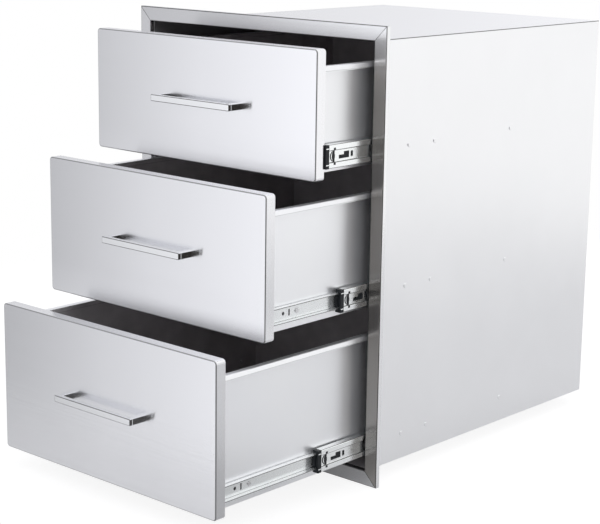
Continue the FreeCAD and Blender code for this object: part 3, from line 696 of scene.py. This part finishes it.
def dress_frame():
    """Materials of the trim frame, brushed along each side."""
    for node, axis in (("frame_top", 0), ("frame_bottom", 0), ("frame_left", 2), ("frame_right", 2)):
        # The right stile's warmer, darker colour and its darkening lower down are painted shade
        colour = STILE_PAINTED_SHADE_COLOUR if node == "frame_right" else FRAME_COLOUR
        steel = brushed(f"{node}_steel", colour, axis, FRAME_ROUGHNESS, FRAME_ANISOTROPY)
        if node == "frame_right":
            low, high = STILE_LIGHT
            steel.shade(steel.ramp(steel.xyz()[2], high, low, 0.0, 1.0), STILE_PAINTED_SHADE)
            # Painted highlight towards the corner shared by stile and top rail
            corner_painted_highlight(steel, 2, STILE_CORNER_Z)
        # Painted highlight on the top rail towards the same corner
        if node == "frame_top":
            corner_painted_highlight(steel, 0, RAIL_CORNER_X)
        mitres(steel)
        rims(steel)
        return_painted_highlight(steel)
        paint(node, steel)


def dress_carcass():
    """Materials of the carcass: satin outside, matt inside with painted shade."""
    side = satin("carcass_side_steel", SIDE_COLOUR, SIDE_ROUGHNESS)
    side.dull(side_inside(side), SIDE_INSIDE_PAINTED_SHADE)
    seam(side, 2)
    for node in ("carcass_right", "carcass_left", "slide_outer_rivets"):
        paint(node, side)
    for node, part, sign, colour in (("carcass_top", 2, -1.0, TOP_COLOUR),
                                     ("carcass_bottom", 2, 1.0, SHEET_COLOUR),
                                     ("carcass_back", 1, -1.0, SHEET_COLOUR)):
        sheet = satin(f"{node}_steel", colour, SHEET_ROUGHNESS)
        sheet.dull(axis_inside(sheet, part, sign))
        if node == "carcass_top":
            seam(sheet, 0)
        paint(node, sheet)


def dress_box(n):
    """Material of the two sides of a drawer's box."""
    wall = satin(f"box_side_steel_{n}", WALL_COLOUR, WALL_ROUGHNESS)
    wall.set(Metallic=WALL_METALLIC)
    # Painted shade on the inner faces of the box sides
    wall.dull(wall_inside(wall))
    hem(wall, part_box(f"box_right_{n}")[1][2])
    painted_shade_behind_holes(wall, n)
    paint(f"box_right_{n}", wall)
    paint(f"box_left_{n}", wall)


def dress_drawers():
    """Materials of the fronts, handles, boxes and slides."""
    liner = satin("liner_steel", LINER_COLOUR)
    liner.dull(axis_inside(liner, 1, 1.0), LINER_DULL)
    # Painted shade on the inner faces of the box bottom and back
    bottom = satin("box_bottom_steel", BOX_COLOUR)
    bottom.dull(axis_inside(bottom, 2, 1.0))
    back = satin("box_back_steel", BOX_COLOUR)
    back.dull(axis_inside(back, 1, -1.0))
    rivet = fixing("rivet_steel", RIVET_COLOUR)
    cage = fixing("cage_steel", CAGE_COLOUR)
    shared = {"front_liner": liner, "box_bottom": bottom, "box_back": back, "slide_outer": zinc("zinc_plate"),
              "slide_cap": plastic("black_plastic"), "front_rivets": rivet, "handle_fixings": rivet,
              "slide_inner_rivets": rivet, "outer_cage": cage, "inner_cage": cage}
    for n in DRAWERS:
        for name, surface in shared.items():
            paint(f"{name}_{n}", surface)
        front = brushed(f"front_steel_{n}", FRONT_COLOUR, 0, FRONT_ROUGHNESS, FRONT_ANISOTROPY)
        front_lean(front, n)
        front_bend_painted_shade(front)
        front_and_ends_painted_shade(front)
        paint(f"front_pan_{n}", front)
        paint(f"handle_{n}", chrome(n))
        dress_box(n)
        for name, edges in RAIL_EDGES.items():
            rails = zinc(f"zinc_{name}_{n}")
            rails.set(Metallic=RAIL_METALLIC[name])
            painted_shade_lines(rails, f"{name}_{n}", edges)
            paint(f"{name}_{n}", rails)


def plate_piece(name, outlines, body, material):
    """Thin flat pieces on both slides of a drawer, from outlines of (y, z) points at two x values each."""
    shape = bmesh.new()
    for points, near, far in outlines:
        for side in (1, -1):
            rings = [[shape.verts.new((side * x, y, z)) for y, z in points] for x in (near, far)]
            count = len(points)
            shape.faces.new(rings[1])
            shape.faces.new(list(reversed(rings[0])))
            for i in range(count):
                j = (i + 1) % count
                shape.faces.new((rings[0][i], rings[0][j], rings[1][j], rings[1][i]))
    bmesh.ops.recalc_face_normals(shape, faces=shape.faces)
    mesh = bpy.data.meshes.new(name)
    shape.to_mesh(mesh)
    shape.free()
    piece = bpy.data.objects.new(name, mesh)
    bpy.context.scene.collection.objects.link(piece)
    soft = piece.modifiers.new("soft_edges", "BEVEL")
    soft.width = SOFT_EDGE
    soft.segments = 2
    mesh.materials.append(material)
    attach(piece, body)


def moved(points, y, z, side=1):
    """An outline moved to a place, and turned over if side is -1."""
    return [(y + a, z + side * b) for a, b in points]


def stop_outlines(y, z):
    """The two bows and two blocks of a stamped stop, and the backing of the slots behind the web."""
    place = y + STOP_PLACE
    outlines = [(moved(bow, place, z), WEB_FACE, WEB_FACE + STOP_SHEET) for bow in (THIN_BOW, THICK_BOW)]
    for side in (1, -1):
        outlines.append((moved(STOP_BLOCK, place, z, side), BAND_FACE, BAND_FACE + BAND_SHEET))
    for backing in (SLOT_BACKING, NARROW_BACKING):
        outlines.append((moved(backing, y, z), BACKING_FACE - BACKING_SHEET, BACKING_FACE))
    return outlines


def lip_outlines(y, z):
    """The two steel lips that show through a cap, in front of the middle member's end."""
    lips = []
    for side in (1, -1):
        middle = z + side * LIP_HEIGHT
        lips.append(([(y - a, middle + b) for a, b in CAP_LIP], BAND_FACE, BAND_FACE + BAND_SHEET))
    return lips


def slide_marks():
    """The stamped stop near the front end of each middle member and the backing of its slots, both in black
    painted shade, and the lips in its cap.
    """
    # Black painted shade for the stamped stops and slot backings
    dark = plastic("stop_painted_shade").material
    bright = zinc("zinc_lip").material
    for n in DRAWERS:
        low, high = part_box(f"slide_mid_{n}")
        z = (low[2] + high[2]) / 2
        plate_piece(f"slide_stop_{n}", stop_outlines(low[1], z), f"mid_{n}", dark)
        plate_piece(f"cap_lip_{n}", lip_outlines(low[1], z), f"mid_{n}", bright)


def floor():
    """A plain pale floor just under the object: white to the camera, with the object's soft shadow."""
    low = cad_box[0][2] - FLOOR_DROP
    mesh = bpy.data.meshes.new("floor")
    corners = [(FLOOR_X[0], FLOOR_Y[0], low), (FLOOR_X[1], FLOOR_Y[0], low),
               (FLOOR_X[1], FLOOR_Y[1], low), (FLOOR_X[0], FLOOR_Y[1], low)]
    mesh.from_pydata(corners, [], [(0, 1, 2, 3)])
    plane = bpy.data.objects.new("floor", mesh)
    bpy.context.scene.collection.objects.link(plane)
    mesh.materials.append(floor_paint().material)


def floor_paint():
    """The floor's material: pale for all light, and mostly a white glow for the camera."""
    surface = Surface("floor_paint")
    surface.set(Base_Color=surface.mix(floor_painted_shade_corner(surface), grey(FLOOR_ALBEDO), grey(CORNER_PAINTED_SHADE)))
    surface.set(Roughness=FLOOR_ROUGHNESS)
    shadow = surface.node("ShaderNodeBsdfDiffuse", values={"Color": grey(FLOOR_SHADOW)})
    glow = surface.node("ShaderNodeEmission", values={"Color": grey(1.0), "Strength": FLOOR_WHITE})
    shown = surface.node("ShaderNodeAddShader")
    surface.feed(shown.inputs[0], shadow.outputs[0])
    surface.feed(shown.inputs[1], glow.outputs[0])
    seen = surface.node("ShaderNodeLightPath")
    mirrored = surface.times(seen.outputs["Is Glossy Ray"], FLOOR_MIRRORED)
    plain = surface.math("MAXIMUM", seen.outputs["Is Camera Ray"], seen.outputs["Is Transmission Ray"])
    share = surface.math("MAXIMUM", plain, mirrored)
    result = surface.either(share, surface.shader.outputs[0], shown.outputs[0])
    clear = surface.node("ShaderNodeBsdfTransparent")
    result = surface.either(floor_edge(surface), clear.outputs[0], result)
    surface.feed(surface.tree.nodes["Material Output"].inputs["Surface"], result)
    return surface


def floor_edge(surface):
    """1 on the floor round the object, falling to 0 at the floor's outline."""
    x, y, _ = surface.xyz()
    edge = 1.0
    for value, (low, high) in ((x, FLOOR_X), (y, FLOOR_Y)):
        for outer, inner in ((low, low + FLOOR_FADE), (high, high - FLOOR_FADE)):
            edge = surface.times(surface.ramp(value, outer, inner, 0.0, 1.0), edge)
    return edge


def floor_painted_shade_corner(surface):
    """1 on the floor beside the pulled-out drawers, on the photographer's side, where painted shade darkens
    the floor.
    """
    x, y, _ = surface.xyz()
    beside = surface.ramp(x, CORNER_X[0], CORNER_X[1], 0.0, 1.0)
    return surface.times(beside, surface.ramp(y, CORNER_Y[0], CORNER_Y[1], 0.0, 1.0))


def room_colour(graph, y, left):
    """Colour of the room without its dark zone: in front by ROOM_BY_LEFT, behind dimmer to the left."""
    curve = graph.node("ShaderNodeValToRGB", values={"Fac": left})
    marks = curve.color_ramp.elements
    while len(marks) < len(ROOM_BY_LEFT):
        marks.new(0.5)
    for mark, (place, level) in zip(marks, ROOM_BY_LEFT):
        mark.position = place
        mark.color = cool(level)
    back = graph.ramp(left, BACK_LEFT[0], BACK_LEFT[1], 1.0, BACK_DIM)
    back = graph.mix(back, grey(0.0), cool(1.0))
    return graph.mix(graph.above(y, 0.0), curve.outputs["Color"], back)


def dark_zone(graph, x, y, z, flat):
    """1 in the dark zone on the photographer's side, which is wider below the level."""
    way = graph.math("MULTIPLY_ADD", x, DARK_WAY[0], graph.times(y, DARK_WAY[1]))
    turned = graph.math("ARCCOSINE", graph.math("MINIMUM", graph.math("DIVIDE", way, flat), 1.0))
    width = graph.ramp(z, DARK_LOW, DARK_HIGH, DARK_WIDE, DARK_NARROW)
    sideways = graph.ramp(graph.math("DIVIDE", turned, width), DARK_CORE, 1.0, 1.0, 0.0)
    return graph.times(sideways, graph.ramp(z, DARK_TOP[0], DARK_TOP[1], 1.0, 0.0))


def room():
    """White surroundings: dimmer to the left, and dark where the photographer's side of the room is."""
    world = bpy.data.worlds.new("studio")
    bpy.context.scene.world = world
    world.use_nodes = True
    world.node_tree.nodes.clear()
    graph = Graph(world.node_tree)
    x, y, z = graph.parts(graph.node("ShaderNodeTexCoord").outputs["Generated"])
    flat = graph.math("SQRT", graph.math("MULTIPLY_ADD", x, x, graph.times(y, y)))
    flat = graph.math("MAXIMUM", flat, SMALLEST)
    left = graph.math("DIVIDE", graph.times(x, -1.0), flat)
    colour = graph.mix(dark_zone(graph, x, y, z, flat), room_colour(graph, y, left), DARK_COLOUR)
    light = graph.node("ShaderNodeBackground", values={"Color": colour, "Strength": 1.0})
    white = graph.node("ShaderNodeBackground", values={"Color": grey(1.0), "Strength": 1.0})
    seen = graph.node("ShaderNodeLightPath")
    plain = graph.math("MAXIMUM", seen.outputs["Is Camera Ray"], seen.outputs["Is Transmission Ray"])
    behind = graph.times(graph.ramp(left, BACKDROP_NONE, BACKDROP_FULL, 0.0, 1.0), graph.above(y, 0.0))
    mirrored = graph.times(seen.outputs["Is Glossy Ray"], behind)
    result = graph.either(graph.math("MAXIMUM", plain, mirrored), light.outputs[0], white.outputs[0])
    out = graph.node("ShaderNodeOutputWorld")
    graph.feed(out.inputs["Surface"], result)


def softbox():
    """A square softbox over the unit."""
    data = bpy.data.lights.new("top_softbox", "AREA")
    data.shape = "SQUARE"
    data.size = SOFTBOX_SIZE
    data.energy = SOFTBOX_POWER
    made = bpy.data.objects.new("top_softbox", data)
    made.location = SOFTBOX_PLACE
    made.rotation_euler = (Vector(SOFTBOX_AIM) - Vector(SOFTBOX_PLACE)).to_track_quat("-Z", "Y").to_euler()
    bpy.context.scene.collection.objects.link(made)


def camera():
    """The photograph's camera."""
    data = bpy.data.cameras.new("camera")
    data.sensor_width = SENSOR_WIDTH
    data.lens = CAMERA_LENS
    made = bpy.data.objects.new("camera", data)
    made.location = CAMERA_PLACE
    made.rotation_euler = CAMERA_TURN
    bpy.context.scene.collection.objects.link(made)
    bpy.context.scene.camera = made


dress_frame()
dress_carcass()
dress_drawers()
slide_marks()
floor()
room()
softbox()
camera()
bpy.context.scene.view_settings.view_transform = "Standard"
